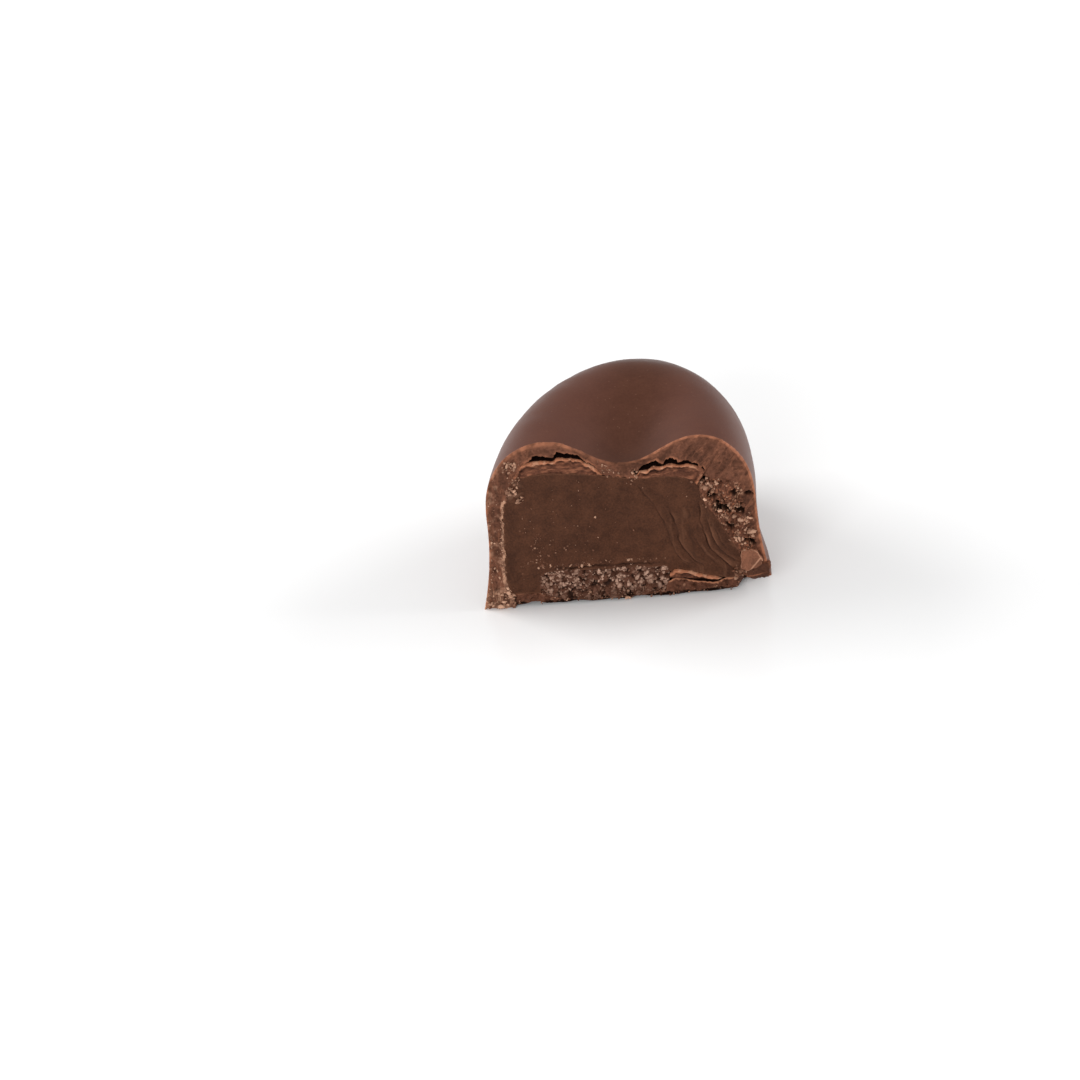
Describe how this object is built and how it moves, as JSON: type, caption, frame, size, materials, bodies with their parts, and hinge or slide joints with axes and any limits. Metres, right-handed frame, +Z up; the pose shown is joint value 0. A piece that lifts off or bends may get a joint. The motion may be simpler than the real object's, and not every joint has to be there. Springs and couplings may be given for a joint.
{
  "type": "filled chocolate praline half",
  "caption": "Half of a moulded coffee-bean praline, cut across to show its shell, inner coat, soft filling, crisp layer and base.",
  "frame": {"origin": "middle of the footprint, on the surface that the half stands on", "axes": "+X across the bean along the cut face, +Y from the cut face towards the rounded end, +Z up"},
  "size_m": [0.0238, 0.0206, 0.0156],
  "materials": {
    "milk_chocolate": "satin milk chocolate as it leaves the mould, dull where it is cut or broken",
    "inner_chocolate": "freshly broken milk chocolate, dull and a little paler",
    "filling": "soft dark filling, smeared by the knife",
    "crisp": "dry pale grains in chocolate",
    "base_chocolate": "scraped flat milk chocolate"
  },
  "bodies": {
    "root": {"shell": "milk_chocolate", "inner_coat_left": "inner_chocolate", "inner_coat_right": "inner_chocolate", "inner_coat_foot": "inner_chocolate", "filling": "filling", "crisp_layer": "crisp", "base": "base_chocolate"}
  },
  "joints": []
}
